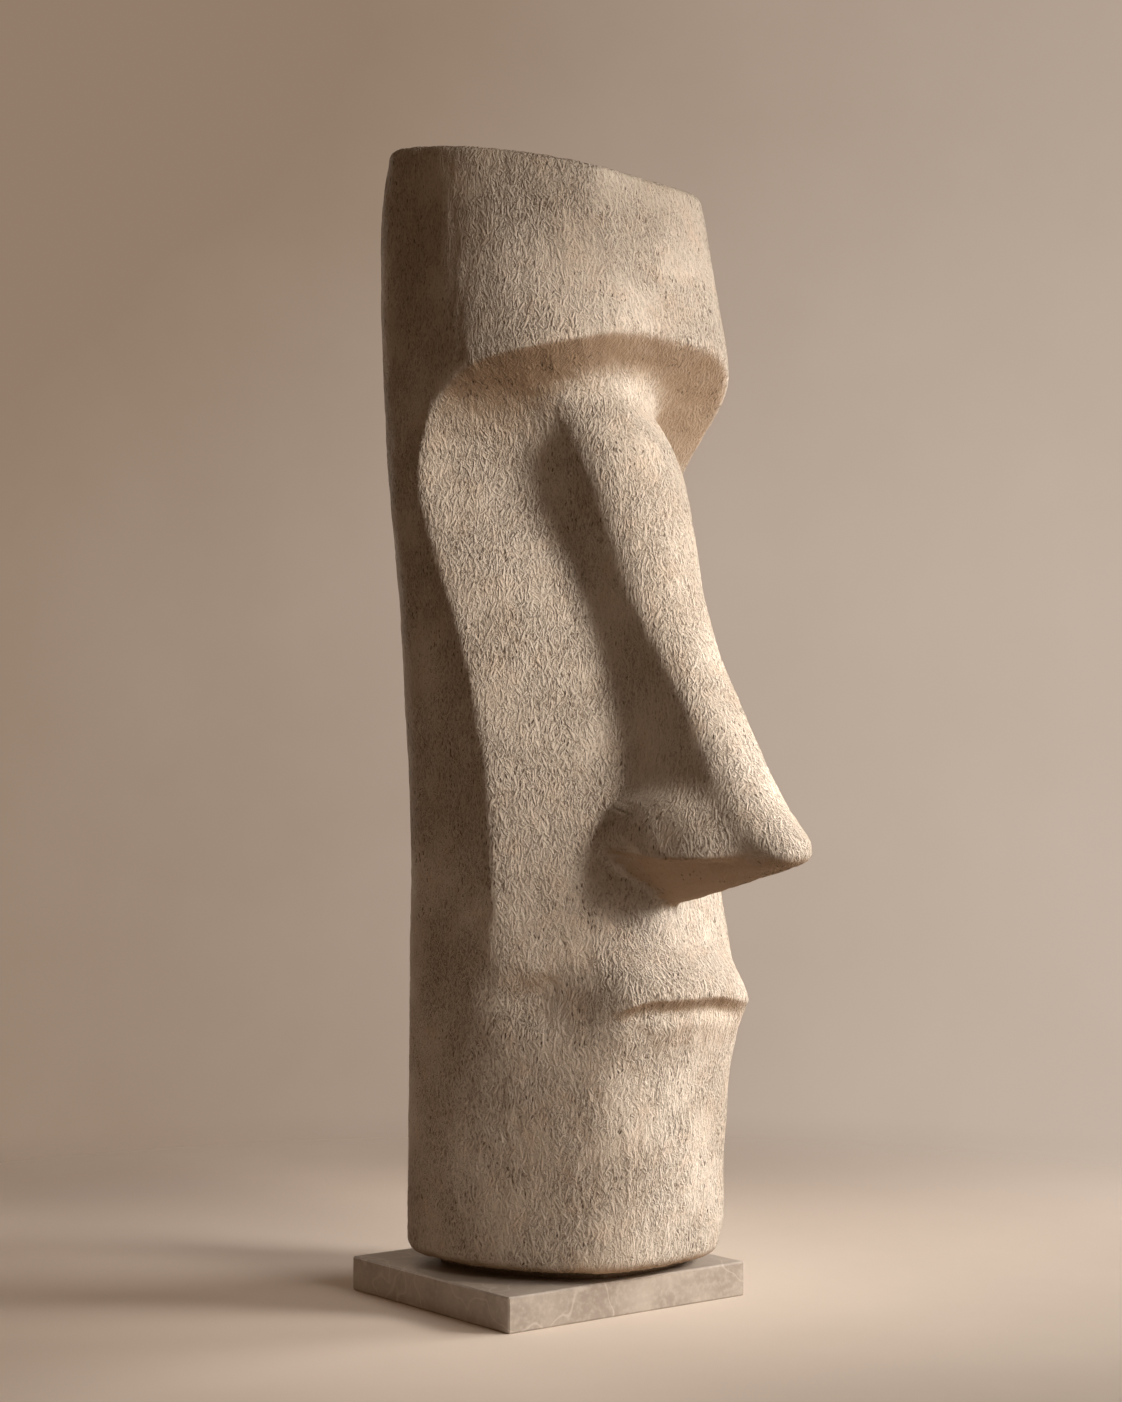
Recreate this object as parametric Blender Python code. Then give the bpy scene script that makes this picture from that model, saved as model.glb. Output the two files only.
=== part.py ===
"""A moai head carved from one block of stone, standing on a thin stone slab.

Metres, +Z up. The origin is the middle of the slab's underside and the head faces -Y. Inside the
functions the head is described by three coordinates: across (to the head's left, +X, from its middle
plane), ahead (out of the face, -Y) and height (+Z from the floor).
"""

import math

import bmesh
import bpy
import numpy as np

# ---------------------------------------------------------------- driving dimensions
GAP = 0.0003  # between the head's foot and the slab

SLAB_SIZE = (0.260, 0.234, 0.030)
SLAB_ARRIS = 0.0014
SLAB_COLOUR = (0.34, 0.29, 0.245)
SLAB_ROUGHNESS = 0.45
HEAD_COLOUR = (0.50, 0.41, 0.31)
HEAD_ROUGHNESS = 0.9

HEAD_MIDDLE_X = 0.014
HEAD_BOTTOM = 0.0375
TOP_HEIGHT = 1.0045  # over the middle of the head
TOP_FALL_AHEAD = 0.160  # the sawn top falls toward the face
TOP_FALL_ACROSS = 0.073  # and toward the head's left
BOTTOM_ROUND = 0.014
TOP_ROUND = 0.009
FOOT_INSET = 0.030  # the foot is set back, so the head floats over a dark joint
UNDERSIDE_INSET = 0.0138

# The block, as (height, value): half its width, and how far its front and back stand from the axis.
HALF_WIDTH = ((0.04, 0.1268), (0.30, 0.1265), (0.60, 0.1265), (0.83, 0.1272), (1.01, 0.1250))
FRONT = (
    (0.04, 0.137), (0.12, 0.140), (0.20, 0.147), (0.28, 0.150), (0.36, 0.158),
    (0.48, 0.154), (0.70, 0.140), (0.835, 0.129), (0.92, 0.112), (1.01, 0.093),
)
BACK = (
    (0.04, 0.102), (0.25, 0.100), (0.42, 0.099), (0.53, 0.109), (0.62, 0.118),
    (0.71, 0.132), (0.80, 0.141), (0.90, 0.148), (0.96, 0.149), (0.99, 0.146), (1.02, 0.137),
)
FRONT_BOW_RADIUS = ((0.04, 0.18), (0.34, 0.16), (0.60, 0.30), (0.85, 0.42), (1.01, 0.42))
BACK_BOW_RADIUS = 0.90
CORNER_RIGHT = (
    (0.04, 0.100), (0.20, 0.090), (0.28, 0.058), (0.36, 0.040),
    (0.60, 0.035), (0.76, 0.068), (0.85, 0.106), (0.93, 0.108), (1.01, 0.100),
)
CORNER_REACH = -0.03  # the front corners curve back no further than this
CORNER_LEFT = (
    (0.045, 0.060), (0.052, 0.053), (0.066, 0.041), (0.10, 0.040), (0.20, 0.034),
    (0.27, 0.030), (0.60, 0.034), (0.80, 0.044), (1.01, 0.054),
)
CORNER_BACK = 0.055
SIDE_CHANGE = 0.10  # the right side's form passes into the left's over this width

# The face, cut back into the block from under the brow.
CHEEK_MIDDLE = (
    (0.20, 0.170), (0.27, 0.158), (0.34, 0.147), (0.44, 0.135), (0.52, 0.121),
    (0.60, 0.102), (0.65, 0.084), (0.70, 0.059), (0.75, 0.038), (0.82, 0.030),
)
CHEEK_EDGE = (
    (0.16, 0.130), (0.22, 0.086), (0.28, 0.070), (0.36, 0.070), (0.44, 0.064),
    (0.53, 0.042), (0.62, 0.003), (0.69, -0.031), (0.735, -0.048), (0.80, -0.056),
)
CHEEK_LEFT_FULLER = (
    (0.16, 0.010), (0.22, 0.032), (0.28, 0.028), (0.36, 0.006), (0.44, 0.0), (0.80, 0.0),
)
CHEEK_CURVE = ((0.50, 1.9), (0.60, 1.8), (0.70, 1.40), (0.84, 1.25))
CARVED_EDGE = 0.006  # how far the carved edges are rounded

BROW_HEIGHT = 0.841
BROW_FALL = 1.22  # metres of fall per square metre across
BROW_AHEAD = 0.132
TEMPLE_DEPTH = 0.182  # the brow's edge runs this far round the side
TEMPLE_DROP = 0.105
BROW_SLOPE = 0.75  # how steeply its underside falls from the edge inward
BROW_HOLLOW_RIGHT = 1.5  # how that steepens with depth, per metre
BROW_HOLLOW_LEFT = 1.0
SOCKET_ROUND = 0.060
SOCKET_CORNER = 0.100
BROW_CHANGE = 0.24

RIDGE = (
    (0.38, 0.331), (0.39, 0.325), (0.433, 0.284), (0.478, 0.252), (0.523, 0.224), (0.56, 0.200),
    (0.612, 0.176), (0.655, 0.163), (0.70, 0.150), (0.75, 0.125), (0.79, 0.091), (0.83, 0.052),
    (0.90, 0.010),
)
NOSE_HALF_WIDTH = (
    (0.34, 0.028), (0.39, 0.028), (0.42, 0.031), (0.52, 0.031),
    (0.56, 0.034), (0.61, 0.040), (0.70, 0.049), (0.76, 0.050), (0.80, 0.043), (0.86, 0.028),
)
NOSE_JOIN = (
    (0.33, 0.008), (0.37, 0.010), (0.42, 0.014), (0.47, 0.020),
    (0.56, 0.022), (0.70, 0.024), (0.78, 0.030), (0.85, 0.060),
)
RIDGE_ROUND = 0.92  # the ridge's rounding, as a share of the nose's half width
WING_MIDDLE = (0.030, 0.178, 0.399)  # across, ahead and height
WING_HALF_SIZE = (0.034, 0.086, 0.048)
WING_JOIN = 0.015
WING_FRONT = 0.270
WING_LENGTH = 0.110
NOSE_RIM = 0.387
NOSE_TIP = 0.318
NOSE_UNDERSIDE_LENGTH = 0.190
NOSE_KEEL_DROP = 0.044
NOSE_KEEL_ACROSS = 0.014
NOSE_KEEL_CURVE = 1.3
RIM_ROUND = 0.008  # round the nose's rim, and how much more at its tip and behind its wings
RIM_ROUND_MORE = 0.020
RIM_TIP = 0.25
RIM_BACK = 0.21
RIM_CHANGE = 0.06
NOSE_ROOT = 0.02  # the nose's own stone starts this far ahead

MOUTH_HEIGHT = 0.262
MOUTH_RIGHT_END = -0.094  # its corner on the head's right, in a hollow
MOUTH_LEFT_END = 0.128
MOUTH_END_FADE = 0.044
MOUTH_RISE = (0.009, 0.10, 0.03)  # the line of the mouth bows up: by how much, and from where to where
MOUTH_DROP = (0.016, -0.030, -0.100)  # and falls toward the right corner
LIP_OUT = 0.032
LIP_RISE = 0.062
LIP_FALL = 0.085
LIP_RISE_CURVE = 1.5
LIP_FALL_CURVE = 1.7
MOUTH_GROOVE = 0.0050
MOUTH_GROOVE_BELOW = 0.0110
MOUTH_GROOVE_HALF = 0.0085
MOUTH_GROOVE_END = (1.0, 0.096, 0.055)  # it fades out toward the left side
MOUTH_HOLLOW = 0.026
MOUTH_HOLLOW_ACROSS = -0.089
MOUTH_HOLLOW_WIDTH = (0.030, 0.015)  # gentle on the right, steep toward the lips
MOUTH_HOLLOW_HEIGHT = 0.023
MOUTH_HOLLOW_ABOVE = 0.006
MOUTH_FACE = (1.0, 0.03, 0.09)  # the mouth is only on the front

# How the rows and columns of points lie on the head, of which more lie where it's most carved.
FACE_HEIGHTS = (0.28, 0.76)
COLUMN_CROWDING = 1.2
ROW_SAG = (  # the rows by the brow follow its edge down round the temples, as (turn, drop)
    (-1.0, 0.0), (-0.92, 0.0), (-0.75, 0.130), (-0.64, 0.178), (-0.50, 0.116), (-0.40, 0.065),
    (-0.30, 0.021), (-0.20, 0.005), (0.0, 0.0), (0.20, 0.005), (0.30, 0.013), (0.40, 0.022),
    (0.50, 0.036), (0.60, 0.076), (0.70, 0.090), (0.92, 0.0), (1.0, 0.0),
)
ROW_SAG_LOW = (1.0, 0.42, 0.79)
ROW_SAG_HIGH = (1.0, 0.98, 0.86)
FURTHEST = 0.42  # past the tip of the nose
HALVINGS = 26
TOP_PASSES = 4

COLUMNS = 84
SIDE_ROWS = 50
ROUND_ROWS = 3
FACE_COLUMNS = 0.64  # share of the columns that lie within the face's edges
ROW_LEVELS = (
    (0.0, 0.0), (0.12, 0.130), (0.33, 0.265), (0.37, 0.300),
    (0.56, 0.372), (0.81, 0.780), (0.92, 0.865), (1.0, 1.0),
)


# ---------------------------------------------------------------- small tools
def profile(stations, height):
    """The value at a height on the smooth curve through (height, value) stations."""
    heights, values = np.array(stations).T
    slopes = np.gradient(values, heights)
    low = np.clip(np.searchsorted(heights, height) - 1, 0, len(heights) - 2)
    span = heights[low + 1] - heights[low]
    t = np.clip((height - heights[low]) / span, 0, 1)
    start = values[low] * (1 + 2 * t) + span * slopes[low] * t
    end = values[low + 1] * (3 - 2 * t) - span * slopes[low + 1] * (1 - t)
    return start * (1 - t) ** 2 + end * t**2


def ease(t):
    """Rises smoothly from 0 to 1."""
    t = np.clip(t, 0, 1)
    return t * t * (3 - 2 * t)


def joined(a, b, blend):
    """The depth below both of two shapes added together, with a hollow of this size between them."""
    share = np.clip(0.5 + 0.5 * (b - a) / blend, 0, 1)
    return b + (a - b) * share - blend * share * (1 - share)


def common(a, b, blend):
    """The depth below what two shapes have in common, with the edge between them rounded."""
    return -joined(-a, -b, blend)


def corner(past_side, past_front, radius):
    """The distance outside a corner of two faces, rounded to this radius."""
    side = past_side + radius
    front = past_front + radius
    outside = np.hypot(np.maximum(side, 0), np.maximum(front, 0))
    return outside + np.minimum(np.maximum(side, front), 0) - radius


def left_share(across, change):
    """0 on the head's right and 1 on its left, with the change between spread this wide."""
    return ease(0.5 + across / change)


def passed(place, full, start, end):
    """Grows smoothly to its full value as a place goes from start to end."""
    return full * ease((place - start) / (end - start))


# ---------------------------------------------------------------- the head's forms
# Each form gives the distance outside its surface: below zero is stone.
def front_face(across, height):
    return profile(FRONT, height) - across**2 / (2 * profile(FRONT_BOW_RADIUS, height))


def block(across, ahead, height):
    half_width = profile(HALF_WIDTH, height)
    front = front_face(across, height)
    back = profile(BACK, height) - across**2 / (2 * BACK_BOW_RADIUS)
    left = left_share(across, SIDE_CHANGE)
    radius = profile(CORNER_RIGHT, height) * (1 - left) + profile(CORNER_LEFT, height) * left
    past_side = np.abs(across) - half_width
    before = corner(past_side, ahead - front, radius)
    behind = corner(past_side, -ahead - back, CORNER_BACK)
    return np.where(ahead > CORNER_REACH, before, behind)


def cheeks(across, ahead, height):
    """The long face: from its edges on the block's sides it slopes forward to the nose."""
    middle = profile(CHEEK_MIDDLE, height)
    left = left_share(across, SIDE_CHANGE)
    edge = profile(CHEEK_EDGE, height) + left * profile(CHEEK_LEFT_FULLER, height)
    outward = (np.abs(across) / profile(HALF_WIDTH, height)) ** profile(CHEEK_CURVE, height)
    return ahead - (edge + (middle - edge) * (1 - outward))


def brow(across, ahead, height):
    """The stone over the eyes: its edge is an arch in front that curls down round the temples."""
    round_side = np.clip((BROW_AHEAD - ahead) / TEMPLE_DEPTH, 0, 0.999)
    edge = BROW_HEIGHT - BROW_FALL * across**2 - TEMPLE_DROP * (1 - np.sqrt(1 - round_side**3))
    left = left_share(across, BROW_CHANGE)
    hollow = BROW_HOLLOW_RIGHT * (1 - left) + BROW_HOLLOW_LEFT * left
    behind_front = front_face(across, height) - ahead
    from_side = profile(HALF_WIDTH, height) - np.abs(across)
    inward = joined(from_side, behind_front, SOCKET_CORNER)
    depth = np.maximum(behind_front * left + inward * (1 - left), 0)
    underside = edge - depth * (BROW_SLOPE + hollow * depth)
    return (underside - height) / math.hypot(1, BROW_SLOPE)


def nose(across, ahead, height):
    """A tall wedge with a round ridge, wings low on its sides and a keeled underside."""
    ridge_half = profile(NOSE_HALF_WIDTH, height)
    wedge = corner(np.abs(across) - ridge_half, ahead - profile(RIDGE, height), ridge_half * RIDGE_ROUND)
    offsets = (np.abs(across), ahead, height)
    parts = [(at - mid) / size for at, mid, size in zip(offsets, WING_MIDDLE, WING_HALF_SIZE)]
    wing = (np.sqrt(parts[0] ** 2 + parts[1] ** 2 + parts[2] ** 2) - 1) * WING_HALF_SIZE[0]
    wedge = joined(wedge, wing, WING_JOIN)
    flare = WING_MIDDLE[0] + WING_HALF_SIZE[0] - ridge_half
    half = ridge_half + flare * ease((WING_FRONT - ahead) / WING_LENGTH)
    back = np.clip((NOSE_TIP - ahead) / NOSE_UNDERSIDE_LENGTH, 0, 1)
    outward = np.clip(np.abs(across - NOSE_KEEL_ACROSS * back) / half, 0, 1)
    underside = NOSE_RIM - NOSE_KEEL_DROP * back * (1 - outward**NOSE_KEEL_CURVE)
    ends = ease((ahead - RIM_TIP) / RIM_CHANGE) + ease((RIM_BACK - ahead) / RIM_CHANGE)
    wedge = common(wedge, underside - height, RIM_ROUND + RIM_ROUND_MORE * ends)
    return common(wedge, NOSE_ROOT - ahead, NOSE_ROOT)


def mouth(across, ahead, height):
    """How far the lips stand out of the chin, less the groove between them and the corner's hollow."""
    from_right = (across - MOUTH_RIGHT_END) / MOUTH_END_FADE
    from_left = (MOUTH_LEFT_END - across) / MOUTH_END_FADE
    within = ease(from_right) * ease(from_left)
    bow = passed(across, *MOUTH_RISE) - passed(across, *MOUTH_DROP)
    level = height - MOUTH_HEIGHT - bow
    above = ease((LIP_RISE - level) / LIP_RISE) ** LIP_RISE_CURVE
    below = np.clip(1 + level / LIP_FALL, 0, 1) ** LIP_FALL_CURVE
    lips = LIP_OUT * np.where(level > 0, above, below)
    groove = MOUTH_GROOVE * np.exp(-(((level + MOUTH_GROOVE_BELOW) / MOUTH_GROOVE_HALF) ** 2))
    groove = groove * passed(across, *MOUTH_GROOVE_END)
    wide = np.where(across < MOUTH_HOLLOW_ACROSS, *MOUTH_HOLLOW_WIDTH)
    hollow_across = (across - MOUTH_HOLLOW_ACROSS) / wide
    hollow_up = (height - MOUTH_HEIGHT - MOUTH_HOLLOW_ABOVE) / MOUTH_HOLLOW_HEIGHT
    hollow = MOUTH_HOLLOW * np.exp(-(hollow_across**2) - hollow_up**2)
    return (within * (lips - groove) - hollow) * passed(ahead, *MOUTH_FACE)


def head_form(across, ahead, height):
    outside_block = block(across, ahead, height)
    face = joined(cheeks(across, ahead, height), brow(across, ahead, height), SOCKET_ROUND)
    carved = common(outside_block, face, CARVED_EDGE)
    carved = joined(carved, nose(across, ahead, height), profile(NOSE_JOIN, height))
    return carved - mouth(across, ahead, height)


def reach(angle, height):
    """How far the head's surface is from its axis, at an angle from straight ahead toward its right."""
    across_step = -np.sin(angle)
    ahead_step = np.cos(angle)
    inside = np.zeros_like(height)
    outside = np.full_like(height, FURTHEST)
    for _ in range(HALVINGS):
        middle = (inside + outside) / 2
        stone = head_form(middle * across_step, middle * ahead_step, height) < 0
        inside = np.where(stone, middle, inside)
        outside = np.where(stone, outside, middle)
    return (inside + outside) / 2


def top_height(across, ahead):
    return TOP_HEIGHT - TOP_FALL_AHEAD * ahead - TOP_FALL_ACROSS * across


# ---------------------------------------------------------------- where the head's vertices lie
def column_angle(turn, height):
    """The angle of a column, which follows the edge of the face. turn runs from -1 to 1."""
    held = np.clip(height, *FACE_HEIGHTS)
    edge = np.arctan2(profile(HALF_WIDTH, held), profile(CHEEK_EDGE, held))
    size = np.abs(turn)
    within = edge * (np.minimum(size, FACE_COLUMNS) / FACE_COLUMNS) ** COLUMN_CROWDING
    beyond = (math.pi - edge) * np.maximum(size - FACE_COLUMNS, 0) / (1 - FACE_COLUMNS)
    return np.sign(turn) * (within + beyond)


def row_height(share, turn, top):
    """The height of a row. Rows lie closest at the mouth, under the nose and at the brow."""
    shares, levels = np.array(ROW_LEVELS).T
    level = np.interp(share, shares, levels)
    low = HEAD_BOTTOM + BOTTOM_ROUND
    high = low + level * (top - low)
    near_brow = passed(level, *ROW_SAG_LOW) * passed(level, *ROW_SAG_HIGH)
    return high - profile(ROW_SAG, turn) * near_brow


def head_points(columns, rows, round_rows):
    """Points of the head as an array (ring, column, 3), from the foot's underside to the sawn top."""
    turn = -1 + 2 * (np.arange(columns) + 0.5) / columns
    top = np.full(columns, TOP_HEIGHT - TOP_ROUND)
    for _ in range(TOP_PASSES):
        angle = column_angle(turn, top)
        distance = reach(angle, top)
        top = top_height(-distance * np.sin(angle), distance * np.cos(angle)) - TOP_ROUND
    share = np.linspace(0, 1, rows)[:, None]
    height = row_height(share, turn[None, :], top[None, :])
    angle = column_angle(np.broadcast_to(turn, height.shape), height)
    distance = reach(angle, height)

    def ring(row, inset, rise):
        out = distance[row] - inset
        x = HEAD_MIDDLE_X - out * np.sin(angle[row])
        return np.stack([x, -out * np.cos(angle[row]), rise], axis=-1)

    rings = [
        ring(0, FOOT_INSET, np.full(columns, SLAB_SIZE[2] + GAP)),
        ring(0, FOOT_INSET, np.full(columns, HEAD_BOTTOM)),
    ]
    for step in range(round_rows):
        tilt = math.pi / 2 * step / round_rows
        inset = UNDERSIDE_INSET * (1 - math.sin(tilt))
        rings.append(ring(0, inset, height[0] - BOTTOM_ROUND * math.cos(tilt)))
    rings += [ring(row, 0, height[row]) for row in range(rows)]
    for step in range(1, round_rows + 1):
        tilt = math.pi / 2 * step / round_rows
        inset = TOP_ROUND * (1 - math.cos(tilt))
        rings.append(ring(rows - 1, inset, height[-1] + TOP_ROUND * math.sin(tilt)))
    return np.array(rings)


# ---------------------------------------------------------------- the objects
def clear_scene():
    for thing in list(bpy.data.objects):
        bpy.data.objects.remove(thing, do_unlink=True)


def stone(name, colour, roughness):
    material = bpy.data.materials.new(name)
    material.use_nodes = True
    shader = material.node_tree.nodes["Principled BSDF"]
    shader.inputs["Base Color"].default_value = (*colour, 1)
    shader.inputs["Roughness"].default_value = roughness
    shader.inputs["Metallic"].default_value = 0
    return material


def add_object(name, bm, material, smooth_degrees):
    bmesh.ops.recalc_face_normals(bm, faces=bm.faces)
    mesh = bpy.data.meshes.new(name)
    bm.to_mesh(mesh)
    bm.free()
    mesh.materials.append(material)
    mesh.shade_smooth()
    mesh.set_sharp_from_angle(angle=math.radians(smooth_degrees))
    thing = bpy.data.objects.new(name, mesh)
    bpy.context.scene.collection.objects.link(thing)
    return thing


def add_slab():
    bm = bmesh.new()
    bmesh.ops.create_cube(bm, size=1)
    bmesh.ops.scale(bm, vec=SLAB_SIZE, verts=bm.verts)
    bmesh.ops.translate(bm, vec=(0, 0, SLAB_SIZE[2] / 2), verts=bm.verts)
    bmesh.ops.bevel(
        bm, geom=bm.edges, offset=SLAB_ARRIS, affect="EDGES", segments=1, profile=0.5, material=-1
    )
    return add_object("base_slab", bm, stone("honed_grey_stone", SLAB_COLOUR, SLAB_ROUGHNESS), 30)


def add_head():
    """A drum of quads, each of whose corners is moved out to the carved surface."""
    points = head_points(COLUMNS, SIDE_ROWS, ROUND_ROWS)
    rings = len(points)
    bm = bmesh.new()
    bmesh.ops.create_cone(
        bm, cap_ends=True, cap_tris=False, segments=COLUMNS, radius1=1, radius2=1, depth=rings - 1
    )
    upright = [edge for edge in bm.edges if abs(edge.verts[0].co.z - edge.verts[1].co.z) > 0.5]
    bmesh.ops.subdivide_edges(bm, edges=upright, cuts=rings - 2, use_grid_fill=True)
    first = min(math.atan2(v.co.x, v.co.y) % (2 * math.pi / COLUMNS) for v in bm.verts)
    for vertex in bm.verts:
        level = round(vertex.co.z + (rings - 1) / 2)
        turned = math.atan2(vertex.co.x, vertex.co.y) - first
        column = round(turned / (2 * math.pi / COLUMNS)) % COLUMNS
        vertex.co = points[level, column]
    return add_object("head", bm, stone("carved_beige_stone", HEAD_COLOUR, HEAD_ROUGHNESS), 40)


clear_scene()
add_slab()
add_head()
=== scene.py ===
"""Dresses a carved stone moai head and the slab it stands on.

The head's solid is replaced by a finer mesh of the same form with hand-tooled relief. The slab keeps
its solid and gets a honed stone finish. Metres, +Z up, the head faces -Y.
"""

import math

import bmesh
import bpy
import numpy as np
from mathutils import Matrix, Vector, noise


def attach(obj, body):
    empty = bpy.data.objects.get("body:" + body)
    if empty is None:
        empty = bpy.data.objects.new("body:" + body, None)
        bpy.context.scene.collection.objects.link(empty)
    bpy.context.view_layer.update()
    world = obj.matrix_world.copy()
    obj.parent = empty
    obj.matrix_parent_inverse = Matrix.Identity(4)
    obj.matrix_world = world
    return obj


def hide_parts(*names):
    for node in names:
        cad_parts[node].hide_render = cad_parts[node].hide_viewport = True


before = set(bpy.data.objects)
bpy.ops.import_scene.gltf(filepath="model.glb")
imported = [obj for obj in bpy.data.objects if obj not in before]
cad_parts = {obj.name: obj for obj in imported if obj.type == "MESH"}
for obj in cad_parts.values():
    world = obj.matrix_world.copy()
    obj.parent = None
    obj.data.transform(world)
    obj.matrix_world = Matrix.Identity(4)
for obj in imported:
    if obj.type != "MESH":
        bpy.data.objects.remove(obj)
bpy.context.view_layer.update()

# ---------------------------------------------------------------- the carved form, as in the solid
SLAB_THICKNESS = 0.030
GAP = 0.0003  # between the head's foot and the slab
HEAD_MIDDLE_X = 0.014
HEAD_BOTTOM = 0.0375
TOP_HEIGHT = 1.0045  # over the middle of the head
TOP_FALL_AHEAD = 0.160  # the sawn top falls toward the face
TOP_FALL_ACROSS = 0.073  # and toward the head's left
BOTTOM_ROUND = 0.014
TOP_ROUND = 0.009
FOOT_INSET = 0.030  # the foot is set back, so the head floats over a dark joint
UNDERSIDE_INSET = 0.0138

# The block, as (height, value): half its width, and how far its front and back stand from the axis.
HALF_WIDTH = ((0.04, 0.1268), (0.30, 0.1265), (0.60, 0.1265), (0.83, 0.1272), (1.01, 0.1250))
FRONT = (
    (0.04, 0.137), (0.12, 0.140), (0.20, 0.147), (0.28, 0.150), (0.36, 0.158),
    (0.48, 0.154), (0.70, 0.140), (0.835, 0.129), (0.92, 0.112), (1.01, 0.093),
)
BACK = (
    (0.04, 0.102), (0.25, 0.100), (0.42, 0.099), (0.53, 0.109), (0.62, 0.118),
    (0.71, 0.132), (0.80, 0.141), (0.90, 0.148), (0.96, 0.149), (0.99, 0.146), (1.02, 0.137),
)
# The front and the back are bowed, and the corners rounded, by radii in metres.
FRONT_BOW_RADIUS = ((0.04, 0.18), (0.34, 0.16), (0.60, 0.30), (0.85, 0.42), (1.01, 0.42))
BACK_BOW_RADIUS = 0.90
CORNER_RIGHT = (
    (0.04, 0.100), (0.20, 0.090), (0.28, 0.058), (0.36, 0.040),
    (0.60, 0.035), (0.76, 0.068), (0.85, 0.106), (0.93, 0.108), (1.01, 0.100),
)
CORNER_REACH = -0.03  # the front corners curve back no further than this
CORNER_LEFT = (
    (0.045, 0.060), (0.052, 0.053), (0.066, 0.041), (0.10, 0.040), (0.20, 0.034),
    (0.27, 0.030), (0.60, 0.034), (0.80, 0.044), (1.01, 0.054),
)
CORNER_BACK = 0.055
SIDE_CHANGE = 0.10  # the right side's form passes into the left's over this width

# The face, cut back into the block from under the brow.
CHEEK_MIDDLE = (
    (0.20, 0.170), (0.27, 0.158), (0.34, 0.147), (0.44, 0.135), (0.52, 0.121),
    (0.60, 0.102), (0.65, 0.084), (0.70, 0.059), (0.75, 0.038), (0.82, 0.030),
)
CHEEK_EDGE = (
    (0.16, 0.130), (0.22, 0.086), (0.28, 0.070), (0.36, 0.070), (0.44, 0.064),
    (0.53, 0.042), (0.62, 0.003), (0.69, -0.031), (0.735, -0.048), (0.80, -0.056),
)
CHEEK_LEFT_FULLER = (
    (0.16, 0.010), (0.22, 0.032), (0.28, 0.028), (0.36, 0.006), (0.44, 0.0), (0.80, 0.0),
)
# How far out the cheeks stay full: at 1 they run straight from the nose to their edges.
CHEEK_CURVE = ((0.50, 1.9), (0.60, 1.8), (0.70, 1.40), (0.84, 1.25))
CARVED_EDGE = 0.006  # how far the carved edges are rounded

BROW_HEIGHT = 0.841
BROW_FALL = 1.22  # metres of fall per square metre across
BROW_AHEAD = 0.132
TEMPLE_DEPTH = 0.182  # the brow's edge runs this far round the side
TEMPLE_DROP = 0.105
BROW_SLOPE = 0.75  # how steeply its underside falls from the edge inward
BROW_HOLLOW_RIGHT = 1.5  # how that steepens with depth, per metre
BROW_HOLLOW_LEFT = 1.0
SOCKET_ROUND = 0.060
SOCKET_CORNER = 0.100
BROW_CHANGE = 0.24

RIDGE = (
    (0.38, 0.331), (0.39, 0.325), (0.433, 0.284), (0.478, 0.252), (0.523, 0.224), (0.56, 0.200),
    (0.612, 0.176), (0.655, 0.163), (0.70, 0.150), (0.75, 0.125), (0.79, 0.091), (0.83, 0.052),
    (0.90, 0.010),
)
NOSE_HALF_WIDTH = (
    (0.34, 0.028), (0.39, 0.028), (0.42, 0.031), (0.52, 0.031),
    (0.56, 0.034), (0.61, 0.040), (0.70, 0.049), (0.76, 0.050), (0.80, 0.043), (0.86, 0.028),
)
NOSE_JOIN = (
    (0.33, 0.008), (0.37, 0.010), (0.42, 0.014), (0.47, 0.020),
    (0.56, 0.022), (0.70, 0.024), (0.78, 0.030), (0.85, 0.060),
)
RIDGE_ROUND = 0.92  # the ridge's rounding, as a share of the nose's half width
WING_MIDDLE = (0.030, 0.178, 0.399)  # across, ahead and height
WING_HALF_SIZE = (0.034, 0.086, 0.048)
WING_JOIN = 0.015
WING_FRONT = 0.270
WING_LENGTH = 0.110
NOSE_RIM = 0.387
NOSE_TIP = 0.318
NOSE_UNDERSIDE_LENGTH = 0.190
NOSE_KEEL_DROP = 0.044
NOSE_KEEL_ACROSS = 0.014
NOSE_KEEL_CURVE = 1.3
RIM_ROUND = 0.008  # round the nose's rim, and how much more at its tip and behind its wings
RIM_ROUND_MORE = 0.020
RIM_TIP = 0.25
RIM_BACK = 0.21
RIM_CHANGE = 0.06
NOSE_ROOT = 0.02  # the nose's own stone starts this far ahead

MOUTH_HEIGHT = 0.262
MOUTH_RIGHT_END = -0.094  # its corner on the head's right, in a hollow
MOUTH_LEFT_END = 0.128
MOUTH_END_FADE = 0.044
MOUTH_RISE = (0.009, 0.10, 0.03)  # the line of the mouth bows up: by how much, and from where to where
MOUTH_DROP = (0.016, -0.030, -0.100)  # and falls toward the right corner
LIP_OUT = 0.032
LIP_RISE = 0.062
LIP_FALL = 0.085
LIP_RISE_CURVE = 1.5
LIP_FALL_CURVE = 1.7
MOUTH_GROOVE = 0.0050
MOUTH_GROOVE_BELOW = 0.0110
MOUTH_GROOVE_HALF = 0.0085
MOUTH_GROOVE_END = (1.0, 0.096, 0.055)  # it fades out toward the left side
MOUTH_HOLLOW = 0.026
MOUTH_HOLLOW_ACROSS = -0.089
MOUTH_HOLLOW_WIDTH = (0.030, 0.015)  # gentle on the right, steep toward the lips
MOUTH_HOLLOW_HEIGHT = 0.023
MOUTH_HOLLOW_ABOVE = 0.006
MOUTH_FACE = (1.0, 0.03, 0.09)  # the mouth is only on the front

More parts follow.
